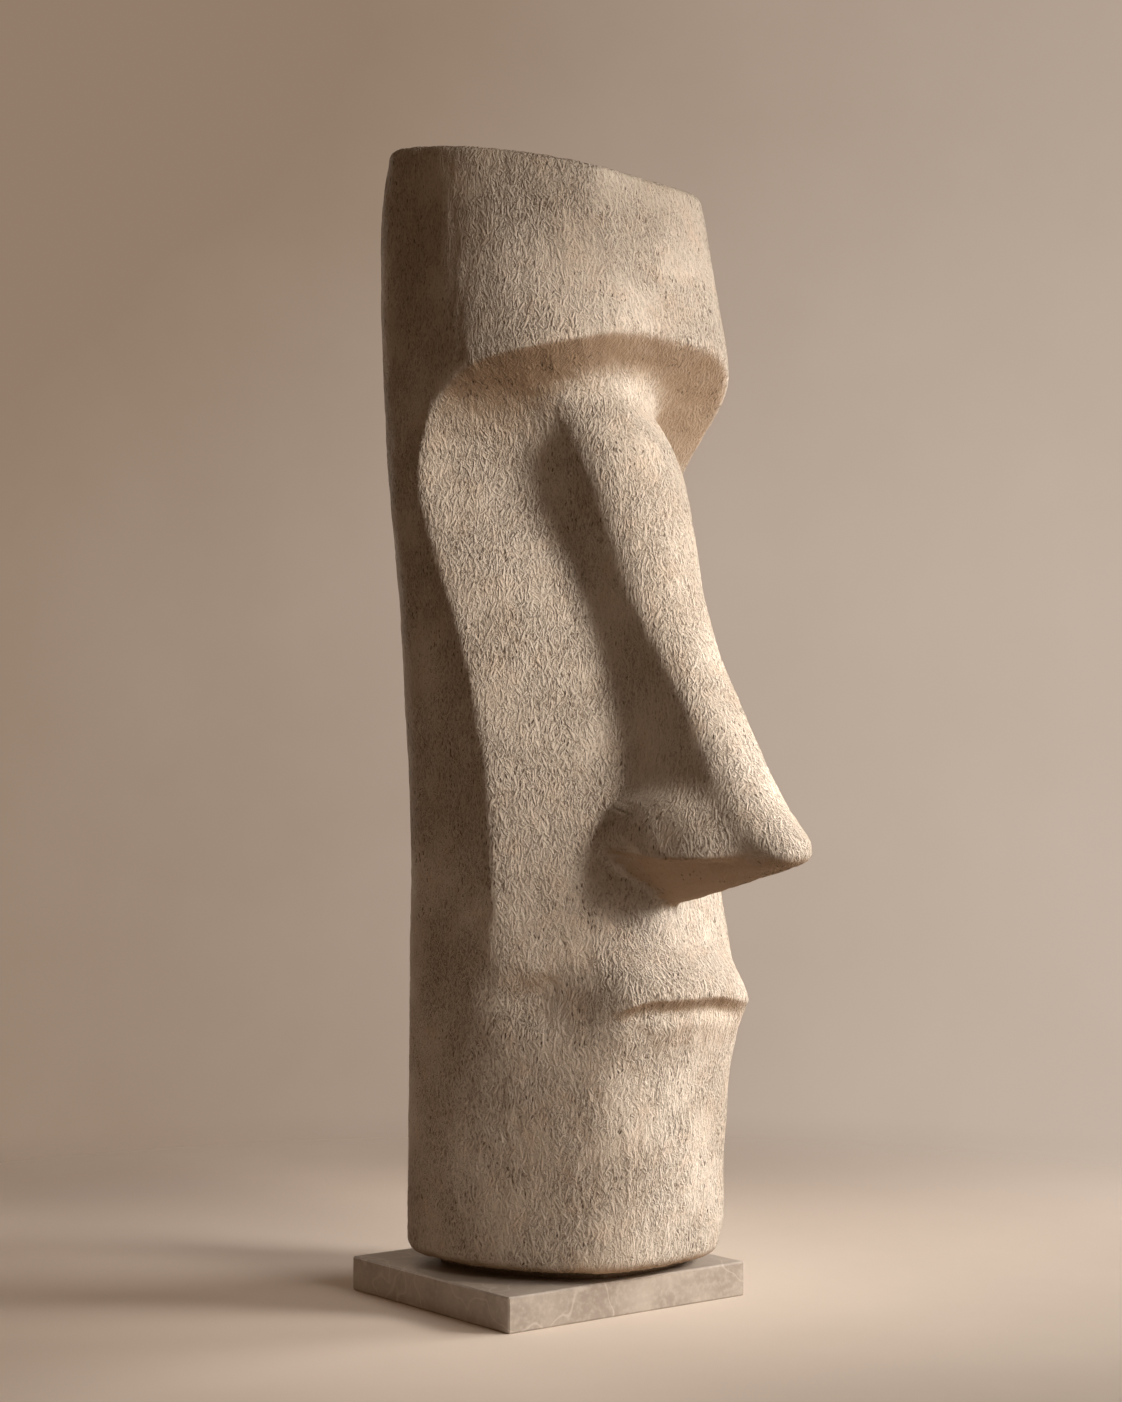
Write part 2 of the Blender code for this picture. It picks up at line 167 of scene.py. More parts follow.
# How the rows and columns of points lie on the head, of which more lie where it's most carved.
FACE_HEIGHTS = (0.28, 0.76)
COLUMN_CROWDING = 1.2
ROW_SAG = (  # the rows by the brow follow its edge down round the temples, as (turn, drop)
    (-1.0, 0.0), (-0.92, 0.0), (-0.75, 0.130), (-0.64, 0.178), (-0.50, 0.116), (-0.40, 0.065),
    (-0.30, 0.021), (-0.20, 0.005), (0.0, 0.0), (0.20, 0.005), (0.30, 0.013), (0.40, 0.022),
    (0.50, 0.036), (0.60, 0.076), (0.70, 0.090), (0.92, 0.0), (1.0, 0.0),
)
# The share of the sag that a row has: this much, reached between one level and another, from below the
# brow and from above it.
ROW_SAG_LOW = (1.0, 0.42, 0.79)
ROW_SAG_HIGH = (1.0, 0.98, 0.86)
FURTHEST = 0.42  # past the tip of the nose
HALVINGS = 26
TOP_PASSES = 4

# ---------------------------------------------------------------- small tools
def profile(stations, height):
    """The value at a height on the smooth curve through (height, value) stations."""
    heights, values = np.array(stations).T
    slopes = np.gradient(values, heights)
    low = np.clip(np.searchsorted(heights, height) - 1, 0, len(heights) - 2)
    span = heights[low + 1] - heights[low]
    t = np.clip((height - heights[low]) / span, 0, 1)
    start = values[low] * (1 + 2 * t) + span * slopes[low] * t
    end = values[low + 1] * (3 - 2 * t) - span * slopes[low + 1] * (1 - t)
    return start * (1 - t) ** 2 + end * t**2


def ease(t):
    """Rises smoothly from 0 to 1."""
    t = np.clip(t, 0, 1)
    return t * t * (3 - 2 * t)


def joined(a, b, blend):
    """The depth below both of two shapes added together, with a hollow of this size between them."""
    share = np.clip(0.5 + 0.5 * (b - a) / blend, 0, 1)
    return b + (a - b) * share - blend * share * (1 - share)


def common(a, b, blend):
    """The depth below what two shapes have in common, with the edge between them rounded."""
    return -joined(-a, -b, blend)


def corner(past_side, past_front, radius):
    """The distance outside a corner of two faces, rounded to this radius."""
    side = past_side + radius
    front = past_front + radius
    outside = np.hypot(np.maximum(side, 0), np.maximum(front, 0))
    return outside + np.minimum(np.maximum(side, front), 0) - radius


def left_share(across, change):
    """0 on the head's right and 1 on its left, with the change between spread this wide."""
    return ease(0.5 + across / change)


def passed(place, full, start, end):
    """Grows smoothly to its full value as a place goes from start to end."""
    return full * ease((place - start) / (end - start))


# ---------------------------------------------------------------- the head's forms
# Each form gives the distance outside its surface: below zero is stone.
def front_face(across, height):
    return profile(FRONT, height) - across**2 / (2 * profile(FRONT_BOW_RADIUS, height))


def block(across, ahead, height):
    half_width = profile(HALF_WIDTH, height)
    front = front_face(across, height)
    back = profile(BACK, height) - across**2 / (2 * BACK_BOW_RADIUS)
    left = left_share(across, SIDE_CHANGE)
    radius = profile(CORNER_RIGHT, height) * (1 - left) + profile(CORNER_LEFT, height) * left
    past_side = np.abs(across) - half_width
    before = corner(past_side, ahead - front, radius)
    behind = corner(past_side, -ahead - back, CORNER_BACK)
    return np.where(ahead > CORNER_REACH, before, behind)


def cheeks(across, ahead, height):
    """The long face: from its edges on the block's sides it slopes forward to the nose."""
    middle = profile(CHEEK_MIDDLE, height)
    left = left_share(across, SIDE_CHANGE)
    edge = profile(CHEEK_EDGE, height) + left * profile(CHEEK_LEFT_FULLER, height)
    outward = (np.abs(across) / profile(HALF_WIDTH, height)) ** profile(CHEEK_CURVE, height)
    return ahead - (edge + (middle - edge) * (1 - outward))


def brow(across, ahead, height):
    """The stone over the eyes: its edge is an arch in front that curls down round the temples."""
    round_side = np.clip((BROW_AHEAD - ahead) / TEMPLE_DEPTH, 0, 0.999)
    edge = BROW_HEIGHT - BROW_FALL * across**2 - TEMPLE_DROP * (1 - np.sqrt(1 - round_side**3))
    left = left_share(across, BROW_CHANGE)
    hollow = BROW_HOLLOW_RIGHT * (1 - left) + BROW_HOLLOW_LEFT * left
    behind_front = front_face(across, height) - ahead
    from_side = profile(HALF_WIDTH, height) - np.abs(across)
    inward = joined(from_side, behind_front, SOCKET_CORNER)
    depth = np.maximum(behind_front * left + inward * (1 - left), 0)
    underside = edge - depth * (BROW_SLOPE + hollow * depth)
    return (underside - height) / math.hypot(1, BROW_SLOPE)


def nose(across, ahead, height):
    """A tall wedge with a round ridge, wings low on its sides and a keeled underside."""
    ridge_half = profile(NOSE_HALF_WIDTH, height)
    past_ridge = ahead - profile(RIDGE, height)
    wedge = corner(np.abs(across) - ridge_half, past_ridge, ridge_half * RIDGE_ROUND)
    offsets = (np.abs(across), ahead, height)
    parts = [(at - mid) / size for at, mid, size in zip(offsets, WING_MIDDLE, WING_HALF_SIZE)]
    wing = (np.sqrt(parts[0] ** 2 + parts[1] ** 2 + parts[2] ** 2) - 1) * WING_HALF_SIZE[0]
    wedge = joined(wedge, wing, WING_JOIN)
    flare = WING_MIDDLE[0] + WING_HALF_SIZE[0] - ridge_half
    half = ridge_half + flare * ease((WING_FRONT - ahead) / WING_LENGTH)
    back = np.clip((NOSE_TIP - ahead) / NOSE_UNDERSIDE_LENGTH, 0, 1)
    outward = np.clip(np.abs(across - NOSE_KEEL_ACROSS * back) / half, 0, 1)
    underside = NOSE_RIM - NOSE_KEEL_DROP * back * (1 - outward**NOSE_KEEL_CURVE)
    ends = ease((ahead - RIM_TIP) / RIM_CHANGE) + ease((RIM_BACK - ahead) / RIM_CHANGE)
    wedge = common(wedge, underside - height, RIM_ROUND + RIM_ROUND_MORE * ends)
    return common(wedge, NOSE_ROOT - ahead, NOSE_ROOT)


def mouth(across, ahead, height):
    """How far the lips stand out of the chin, less the groove between them and the corner's hollow."""
    from_right = (across - MOUTH_RIGHT_END) / MOUTH_END_FADE
    from_left = (MOUTH_LEFT_END - across) / MOUTH_END_FADE
    within = ease(from_right) * ease(from_left)
    bow = passed(across, *MOUTH_RISE) - passed(across, *MOUTH_DROP)
    level = height - MOUTH_HEIGHT - bow
    above = ease((LIP_RISE - level) / LIP_RISE) ** LIP_RISE_CURVE
    below = np.clip(1 + level / LIP_FALL, 0, 1) ** LIP_FALL_CURVE
    lips = LIP_OUT * np.where(level > 0, above, below)
    groove = MOUTH_GROOVE * np.exp(-(((level + MOUTH_GROOVE_BELOW) / MOUTH_GROOVE_HALF) ** 2))
    groove = groove * passed(across, *MOUTH_GROOVE_END)
    wide = np.where(across < MOUTH_HOLLOW_ACROSS, *MOUTH_HOLLOW_WIDTH)
    hollow_across = (across - MOUTH_HOLLOW_ACROSS) / wide
    hollow_up = (height - MOUTH_HEIGHT - MOUTH_HOLLOW_ABOVE) / MOUTH_HOLLOW_HEIGHT
    hollow = MOUTH_HOLLOW * np.exp(-(hollow_across**2) - hollow_up**2)
    return (within * (lips - groove) - hollow) * passed(ahead, *MOUTH_FACE)


def head_form(across, ahead, height):
    outside_block = block(across, ahead, height)
    face = joined(cheeks(across, ahead, height), brow(across, ahead, height), SOCKET_ROUND)
    carved = common(outside_block, face, CARVED_EDGE)
    carved = joined(carved, nose(across, ahead, height), profile(NOSE_JOIN, height))
    return carved - mouth(across, ahead, height)


def reach(angle, height):
    """How far the head's surface is from its axis, at an angle from straight ahead toward its right."""
    across_step = -np.sin(angle)
    ahead_step = np.cos(angle)
    inside = np.zeros_like(height)
    outside = np.full_like(height, FURTHEST)
    for _ in range(HALVINGS):
        middle = (inside + outside) / 2
        stone = head_form(middle * across_step, middle * ahead_step, height) < 0
        inside = np.where(stone, middle, inside)
        outside = np.where(stone, outside, middle)
    return (inside + outside) / 2


def top_height(across, ahead):
    return TOP_HEIGHT - TOP_FALL_AHEAD * ahead - TOP_FALL_ACROSS * across


# ---------------------------------------------------------------- the head's mesh
COLUMNS = 300
SIDE_ROWS = 296
ROUND_ROWS = 7  # rows over each rounded edge, at the bottom and at the top
FOOT_RINGS = 2  # the hidden foot's rings, which stay plain
FACE_COLUMNS = 0.70  # share of the columns that lie within the face's edges
ROW_LEVELS = (  # where the rows lie, as (share of the rows, share of the height)
    (0.0, 0.0), (0.12, 0.130), (0.33, 0.265), (0.37, 0.300),
    (0.56, 0.372), (0.82, 0.780), (0.92, 0.865), (1.0, 1.0),
)
# The rings over the sawn top, as shares of its rim.
TOP_SHARES = (0.96, 0.89, 0.79, 0.67, 0.54, 0.40, 0.26, 0.12, 0.03)

# The carver's strokes, cut in two sizes. They are taller than wide and wander a little.
BROAD_DEPTH = 0.0007
BROAD_FINENESS = 62.0  # cycles a metre round the head
BROAD_UPRIGHT = 0.36  # and this share of that up it
NARROW_DEPTH = 0.0014
NARROW_FINENESS = 150.0
NARROW_UPRIGHT = 0.34
BEND_FINENESS = 9.0
BEND = 0.020


def column_angle(turn, height):
    """The angle of a column, which follows the edge of the face. turn runs from -1 to 1."""
    held = np.clip(height, *FACE_HEIGHTS)
    edge = np.arctan2(profile(HALF_WIDTH, held), profile(CHEEK_EDGE, held))
    size = np.abs(turn)
    within = edge * (np.minimum(size, FACE_COLUMNS) / FACE_COLUMNS) ** COLUMN_CROWDING
    beyond = (math.pi - edge) * np.maximum(size - FACE_COLUMNS, 0) / (1 - FACE_COLUMNS)
    return np.sign(turn) * (within + beyond)


def row_height(share, turn, top):
    """The height of a row. Rows lie closest at the mouth, under the nose and at the brow."""
    shares, levels = np.array(ROW_LEVELS).T
    level = np.interp(share, shares, levels)
    low = HEAD_BOTTOM + BOTTOM_ROUND
    high = low + level * (top - low)
    near_brow = passed(level, *ROW_SAG_LOW) * passed(level, *ROW_SAG_HIGH)
    return high - profile(ROW_SAG, turn) * near_brow


def head_points(columns, rows, round_rows):
    """Points of the head as an array (ring, column, 3), from the foot's underside to the sawn top."""
    turn = -1 + 2 * (np.arange(columns) + 0.5) / columns
    top = np.full(columns, TOP_HEIGHT - TOP_ROUND)
    for _ in range(TOP_PASSES):
        angle = column_angle(turn, top)
        distance = reach(angle, top)
        top = top_height(-distance * np.sin(angle), distance * np.cos(angle)) - TOP_ROUND
    share = np.linspace(0, 1, rows)[:, None]
    height = row_height(share, turn[None, :], top[None, :])
    angle = column_angle(np.broadcast_to(turn, height.shape), height)
    distance = reach(angle, height)

    def ring(row, inset, rise):
        out = distance[row] - inset
        x = HEAD_MIDDLE_X - out * np.sin(angle[row])
        return np.stack([x, -out * np.cos(angle[row]), rise], axis=-1)

    rings = [
        ring(0, FOOT_INSET, np.full(columns, SLAB_THICKNESS + GAP)),
        ring(0, FOOT_INSET, np.full(columns, HEAD_BOTTOM)),
    ]
    for step in range(round_rows):
        tilt = math.pi / 2 * step / round_rows
        inset = UNDERSIDE_INSET * (1 - math.sin(tilt))
        rings.append(ring(0, inset, height[0] - BOTTOM_ROUND * math.cos(tilt)))
    rings += [ring(row, 0, height[row]) for row in range(rows)]
    for step in range(1, round_rows + 1):
        tilt = math.pi / 2 * step / round_rows
        inset = TOP_ROUND * (1 - math.cos(tilt))
        rings.append(ring(rows - 1, inset, height[-1] + TOP_ROUND * math.sin(tilt)))
    return np.array(rings)


def with_sawn_top(points):
    """Carries the rings of points on over the flat top, from its rim to near its middle."""
    rim = points[-1]
    middle = rim.mean(axis=0)
    sawn = np.array([middle + (rim - middle) * share for share in TOP_SHARES])
    return np.concatenate([points, sawn])


def with_relief(points, first_row):
    """Cuts the carver's shallow strokes into the rings of points from first_row upward."""
    round_way = np.roll(points, -1, axis=1) - np.roll(points, 1, axis=1)
    upward = np.gradient(points, axis=0)
    outward = np.cross(upward, round_way)
    outward /= np.linalg.norm(outward, axis=-1, keepdims=True) + 1e-12
    carved = points.copy()
    for row in range(first_row, len(points)):
        for column in range(points.shape[1]):
            place = Vector(points[row, column])
            bend = noise.noise(place * BEND_FINENESS) * BEND
            x, y, z = place
            broad = noise.noise(Vector((x + bend, y + bend, z * BROAD_UPRIGHT)) * BROAD_FINENESS)
            narrow = noise.noise(Vector((x - bend, y + bend, z * NARROW_UPRIGHT)) * NARROW_FINENESS)
            cut = BROAD_DEPTH * (0.5 - broad) + NARROW_DEPTH * abs(narrow)
            carved[row, column] -= outward[row, column] * max(cut, 0.0)
    return carved


def add_object(name, bm, material):
    bmesh.ops.recalc_face_normals(bm, faces=bm.faces)
    mesh = bpy.data.meshes.new(name)
    bm.to_mesh(mesh)
    bm.free()
    mesh.materials.append(material)
    mesh.shade_smooth()
    thing = bpy.data.objects.new(name, mesh)
    bpy.context.scene.collection.objects.link(thing)
    return thing


def add_head(material):
    """A drum of quads, each of whose corners is moved out to the carved surface."""
    points = with_sawn_top(head_points(COLUMNS, SIDE_ROWS, ROUND_ROWS))
    points = with_relief(points, FOOT_RINGS)
    tall = len(points) - 1
    column_turn = 2 * math.pi / COLUMNS
    bm = bmesh.new()
    bmesh.ops.create_cone(
        bm, cap_ends=True, cap_tris=False, segments=COLUMNS, radius1=1, radius2=1, depth=tall
    )
    upright = [edge for edge in bm.edges if abs(edge.verts[0].co.z - edge.verts[1].co.z) > 0.5]
    bmesh.ops.subdivide_edges(bm, edges=upright, cuts=tall - 1, use_grid_fill=True)
    first = min(math.atan2(v.co.x, v.co.y) % column_turn for v in bm.verts)
    for vertex in bm.verts:
        level = round(vertex.co.z + tall / 2)
        turned = math.atan2(vertex.co.x, vertex.co.y) - first
        vertex.co = points[level, round(turned / column_turn) % COLUMNS]
    return add_object("carved_head", bm, material)


# ---------------------------------------------------------------- wiring for the finishes
class Wire:
    """A socket of a shader's node tree. Sums, products and so on of wires add Math nodes."""

    def __init__(self, socket):
        self.socket = socket
        self.tree = socket.id_data

    @staticmethod
    def node(tree, kind, settings, inputs, output=0):
        """Adds a node with these settings, then fills its inputs with numbers, tuples or wires."""
        made = tree.nodes.new(kind)
        for name, value in settings.items():
            setattr(made, name, value)
        for key, value in inputs.items():
            if isinstance(value, Wire):
                tree.links.new(value.socket, made.inputs[key])
            else:
                made.inputs[key].default_value = value
        return Wire(made.outputs[output])

    def other(self, output):
        """Another output of the node that this wire comes from."""
        return Wire(self.socket.node.outputs[output])

    def feed(self, shader, name):
        self.tree.links.new(self.socket, shader.inputs[name])

    def math(self, operation, *values, **settings):
        settings["operation"] = operation
        return Wire.node(self.tree, "ShaderNodeMath", settings, dict(enumerate(values)))

    def vector(self, operation, *values, output=0):
        settings = {"operation": operation}
        return Wire.node(self.tree, "ShaderNodeVectorMath", settings, dict(enumerate(values)), output)

    def __add__(self, other):
        return self.math("ADD", self, other)

    def __sub__(self, other):
        return self.math("SUBTRACT", self, other)

    def __rsub__(self, other):
        return self.math("SUBTRACT", other, self)

    def __mul__(self, other):
        return self.math("MULTIPLY", self, other)

    def __truediv__(self, other):
        return self.math("DIVIDE", self, other)

    def __rtruediv__(self, other):
        return self.math("DIVIDE", other, self)

    __radd__ = __add__
    __rmul__ = __mul__

    def ramp(self, low, high, to_low=0.0, to_high=1.0):
        """This value, eased from one range to another and held at its ends."""
        settings = {"interpolation_type": "SMOOTHSTEP", "clamp": True}
        inputs = {"From Min": low, "From Max": high, "To Min": to_low, "To Max": to_high}
        return Wire.node(self.tree, "ShaderNodeMapRange", settings, {"Value": self, **inputs})

    def unsigned(self):
        """This value without its sign."""
        return self.math("ABSOLUTE", self)

    def or_more(self, other):
        """The larger of two values."""
        return self.math("MAXIMUM", self, other)

    def limited(self):
        """This value, held between 0 and 1."""
        return self.math("ADD", self, 0.0, use_clamp=True)

    def mix(self, first, second):
        """A colour between two, by this value. A plain colour is given as red, green and blue."""
        ends = [end if isinstance(end, Wire) else (*end, 1.0) for end in (first, second)]
        settings = {"data_type": "RGBA", "blend_type": "MIX"}
        inputs = {0: self, 6: ends[0], 7: ends[1]}  # 6 and 7 are the node's inputs for colours
        return Wire.node(self.tree, "ShaderNodeMix", settings, inputs, 2)

    def noise(self, scale, detail, roughness, output=0):
        inputs = {"Vector": self, "Scale": scale, "Detail": detail, "Roughness": roughness}
        return Wire.node(self.tree, "ShaderNodeTexNoise", {"noise_dimensions": "3D"}, inputs, output)

    def stretched_noise(self, scales, detail, roughness):
        """Noise with a scale of its own along each axis."""
        return self.vector("MULTIPLY", self, scales).noise(1.0, detail, roughness)

    def bump(self):
        """The normal of a surface that stands out by this many metres."""
        inputs = {"Strength": 1.0, "Distance": 1.0, "Height": self}
        return Wire.node(self.tree, "ShaderNodeBump", {}, inputs, "Normal")


def new_finish(name):
    """A material's Principled shader, and where on the piece each point lies."""
    material = bpy.data.materials.new(name)
    material.use_nodes = True
    tree = material.node_tree
    place = Wire.node(tree, "ShaderNodeTexCoord", {}, {}, "Object")
    return material, tree.nodes["Principled BSDF"], place


# ---------------------------------------------------------------- the carved stone
# In the finishes a noise is (cycles a metre, detail, roughness), with the first of them along x, y and z
# where it's stretched. A range is (from, to), or (from, to, what it gives at from, what it gives at to).
COARSE_MARKS = {
    "cell": 0.0070, "tall": 2.0, "half_width": 0.0015, "half_length": 0.0080,
    "spread": 0.50, "shift": (0.0, 0.0, 0.0),
}
MEDIUM_MARKS = {
    "cell": 0.0048, "tall": 1.7, "half_width": 0.0011, "half_length": 0.0046,
    "spread": 0.80, "shift": (7.3, 2.1, 5.7),
}
FINE_MARKS = {
    "cell": 0.0034, "tall": 1.4, "half_width": 0.0008, "half_length": 0.0026,
    "spread": 1.30, "shift": (3.9, 8.4, 1.3),
}
SLOTS = {
    "cell": 0.0058, "tall": 1.6, "half_width": 0.0012, "half_length": 0.0034,
    "spread": 0.60, "shift": (1.7, 6.1, 9.2),
}
HOLES = {
    "cell": 0.0040, "tall": 1.2, "half_width": 0.0008, "half_length": 0.0012,
    "spread": 1.50, "shift": (5.2, 0.4, 4.8),
}
WEAKEST_MARK = 0.3  # of the strongest
FINE_SHARE = 0.8  # how high the fine marks stand, of the others
WANDER_NOISE = (26.0, 2.0, 0.5)
WANDER = (0.016, 0.016, 0.010)

FIBRE_NOISE = ((260.0, 260.0, 100.0), 2.0, 0.6)
FIBRE_RANGE = (0.0, 0.16)
STREAK_NOISE = ((560.0, 560.0, 300.0), 4.0, 0.7)
PATCH_NOISE = (14.0, 3.0, 0.55)
PATCH_RANGE = (0.36, 0.58, 0.45, 1.0)  # the tooling is stronger in some patches
SWELL_NOISE = ((60.0, 60.0, 22.0), 3.0, 0.5)
GRAIN_NOISE = (1100.0, 3.0, 0.7)
SLOT_RANGE = (0.46, 0.70)
HOLE_RANGE = (0.62, 0.80)
HOLE_SHARE = 0.7
CROWD_NOISE = (30.0, 3.0, 0.6)  # the slots come in crowds
CROWD_RANGE = (0.46, 0.62)
SMOOTH_AND_SHADE_RANGE = (-0.20, -0.85)  # faces that look down are smoother, and painted darker as painted shade, by the normal's rise
SMOOTHING = 0.65

TONE_NOISE = (9.0, 4.0, 0.6)
TONE_RANGE = (0.35, 0.65)
ROSY_NOISE = (45.0, 2.0, 0.5)
ROSY_RANGE = (0.45, 0.75)
HOLLOW_RANGE = (0.45, 1.0)
HOLLOW_FIBRE = 0.5  # how much the fibres lighten the painted shade in the hollows
HOLLOW_STREAK_RANGE = (0.35, 0.62)
STONE_DEEP = (0.64, 0.560, 0.470)
STONE_PALE = (0.75, 0.675, 0.585)
STONE_ROSY = (0.72, 0.59, 0.47)
# painted shade: the dark colour put in the hollows between the strokes, for the shade that the bumps
# can't cast
STONE_PAINTED_HOLLOW_SHADE = (0.20, 0.14, 0.09)
# painted shade: the dark brown that faces looking down are painted with
STONE_PAINTED_UNDERSIDE_SHADE = (0.31, 0.20, 0.115)
# painted shade: the near black that the pits are painted with, besides being cut
STONE_PAINTED_PIT_SHADE = (0.12, 0.08, 0.05)
ROSY_SHARE = 0.5
HOLLOW_SHADE_SHARE = 0.90
UNDERSIDE_SHADE_SHARE = 0.85
PIT_SHADE_SHARE = 0.85

MARK_RISE = 0.0021
FIBRE_RISE = 0.0006
STREAK_RISE = 0.0021
SWELL_RISE = 0.0007
GRAIN_RISE = 0.00045
PIT_DEPTH = 0.0016
STONE_ROUGHNESS = 0.92
STONE_SHINE = 0.25


def tool_marks(place, side, up, cell, tall, half_width, half_length, spread, shift):
    """Short raised strokes, one to each cell of the stone. 0 to 1.

    A cell is this many metres wide, and so many times as tall. Its stroke is turned from upright by up to
    spread radians, and shift moves the cells, so that two kinds of stroke don't meet in step.
    """
    steps = (1 / cell, 1 / cell, 1 / (cell * tall))
    scaled = place.vector("MULTIPLY_ADD", place, steps, shift)
    cells = {"voronoi_dimensions": "3D", "feature": "F1"}
    fields = {"Vector": scaled, "Scale": 1.0, "Randomness": 1.0}
    centre = Wire.node(place.tree, "ShaderNodeTexVoronoi", cells, fields, "Position")
    drawn = Wire.node(place.tree, "ShaderNodeSeparateColor", {}, {"Color": centre.other("Color")})
    turn_by = (drawn - 0.5) * (2 * spread)
    strength = drawn.other("Green") * (1 - WEAKEST_MARK) + WEAKEST_MARK
    from_centre = place.vector("SUBTRACT", scaled, centre)
    offset = place.vector("MULTIPLY", from_centre, (cell, cell, cell * tall))
    across = place.vector("DOT_PRODUCT", offset, side, output="Value")
    along = place.vector("DOT_PRODUCT", offset, up, output="Value")
    cosine = turn_by.math("COSINE", turn_by)
    sine = turn_by.math("SINE", turn_by)
    over = (across * cosine + along * sine) / half_width
    length = (along * cosine - across * sine) / half_length
    return (1 - over * over - length * length).or_more(0.0) * strength


def carved_stone():
    """Warm, porous stone covered with short chiselled strokes and small pits, with painted shade in the
    hollows between the strokes, in the pits and on faces that look down.
    """
    material, shader, place = new_finish("carved_beige_stone")
    normal = Wire.node(place.tree, "ShaderNodeNewGeometry", {}, {}, "Normal")
    side = place.vector("NORMALIZE", place.vector("CROSS_PRODUCT", (0.0, 0.0, 1.0), normal))
    up = place.vector("CROSS_PRODUCT", normal, side)
    facing_up = Wire.node(place.tree, "ShaderNodeSeparateXYZ", {}, {"Vector": normal}, "Z")

    bent = place.vector("MULTIPLY_ADD", place.noise(*WANDER_NOISE, "Color"), WANDER, place)
    coarse = tool_marks(bent, side, up, **COARSE_MARKS)
    medium = tool_marks(place, side, up, **MEDIUM_MARKS)
    fine = tool_marks(place, side, up, **FINE_MARKS)
    marks = coarse.or_more(medium.or_more(fine * FINE_SHARE))

    fibres = 1 - (bent.stretched_noise(*FIBRE_NOISE) - 0.5).unsigned().ramp(*FIBRE_RANGE)
    streaks = place.stretched_noise(*STREAK_NOISE)
    swell = place.stretched_noise(*SWELL_NOISE)
    grain = place.noise(*GRAIN_NOISE)
    smooth_and_shaded_below = facing_up.ramp(*SMOOTH_AND_SHADE_RANGE)
    tooled = (1 - smooth_and_shaded_below * SMOOTHING) * place.noise(*PATCH_NOISE).ramp(*PATCH_RANGE)

    slots = tool_marks(place, side, up, **SLOTS).ramp(*SLOT_RANGE)
    holes = tool_marks(place, side, up, **HOLES).ramp(*HOLE_RANGE)
    crowded = place.noise(*CROWD_NOISE).ramp(*CROWD_RANGE)
    pits = (slots * crowded).or_more(holes * HOLE_SHARE)

    # the hollows between the strokes get painted shade
    between_marks = (1 - marks).ramp(*HOLLOW_RANGE) * (1 - fibres * HOLLOW_FIBRE)
    hollow_shade = between_marks * (1 - streaks).ramp(*HOLLOW_STREAK_RANGE) * tooled
    plain = place.noise(*TONE_NOISE).ramp(*TONE_RANGE).mix(STONE_DEEP, STONE_PALE)
    rosy = place.noise(*ROSY_NOISE).ramp(*ROSY_RANGE)
    tinted = (rosy * ROSY_SHARE).mix(plain, STONE_ROSY)
    with_hollow_shade = (hollow_shade * HOLLOW_SHADE_SHARE).mix(tinted, STONE_PAINTED_HOLLOW_SHADE)
    # faces that look down are painted dark brown as painted shade
    with_underside_shade = (smooth_and_shaded_below * UNDERSIDE_SHADE_SHARE).mix(with_hollow_shade, STONE_PAINTED_UNDERSIDE_SHADE)
    # the pits get painted shade as well as their cut
    (pits * PIT_SHADE_SHARE).mix(with_underside_shade, STONE_PAINTED_PIT_SHADE).feed(shader, "Base Color")

    strokes = (marks * MARK_RISE + fibres * FIBRE_RISE + streaks * STREAK_RISE) * tooled
    height = strokes + swell * SWELL_RISE + grain * GRAIN_RISE - pits * PIT_DEPTH
    height.bump().feed(shader, "Normal")
    shader.inputs["Roughness"].default_value = STONE_ROUGHNESS
    shader.inputs["Specular IOR Level"].default_value = STONE_SHINE
    return material


# ---------------------------------------------------------------- the honed slab
SLAB_CLOUD_NOISE = (16.0, 5.0, 0.6)
SLAB_CLOUD_RANGE = (0.35, 0.68)
SPECK_NOISE = (170.0, 3.0, 0.6)
SPECK_RANGE = (0.40, 0.75)
SPECK_SHARE = 0.45
HONE_NOISE = (700.0, 2.0, 0.5)
HONE_RISE = 0.00005
HONE_RANGE = (0.3, 0.7, 0.30, 0.44)  # the specks are duller than the ground
VEIN_BEND_NOISE = (9.0, 3.0, 0.5)
VEIN_BEND = (0.05, 0.05, 0.05)
VEIN_NOISE = (14.0, 2.0, 0.5)
VEIN_RANGE = (0.012, 0.0)
VEIN_SHARE = 0.45
SLAB_DEEP = (0.35, 0.30, 0.255)
SLAB_PALE = (0.49, 0.435, 0.38)
SLAB_SPECK = (0.60, 0.55, 0.49)
SLAB_VEIN = (0.68, 0.63, 0.57)


def honed_stone():
    """Taupe-grey limestone, mottled, with a few pale veins and a dull hone."""
    material, shader, place = new_finish("honed_grey_stone")
    speck = place.noise(*SPECK_NOISE)
    bent = place.vector("MULTIPLY_ADD", place.noise(*VEIN_BEND_NOISE, "Color"), VEIN_BEND, place)
    vein = (bent.noise(*VEIN_NOISE) - 0.5).unsigned().ramp(*VEIN_RANGE)
    ground = place.noise(*SLAB_CLOUD_NOISE).ramp(*SLAB_CLOUD_RANGE).mix(SLAB_DEEP, SLAB_PALE)
    flecked = (speck.ramp(*SPECK_RANGE) * SPECK_SHARE).mix(ground, SLAB_SPECK)
    (vein * VEIN_SHARE).mix(flecked, SLAB_VEIN).feed(shader, "Base Color")
    speck.ramp(*HONE_RANGE).feed(shader, "Roughness")
    (place.noise(*HONE_NOISE) * HONE_RISE).bump().feed(shader, "Normal")
    return material


# ---------------------------------------------------------------- the pieces
head = add_head(carved_stone())
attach(head, "root")
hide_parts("head")

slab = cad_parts["base_slab"]
slab.data.materials.clear()
slab.data.materials.append(honed_stone())

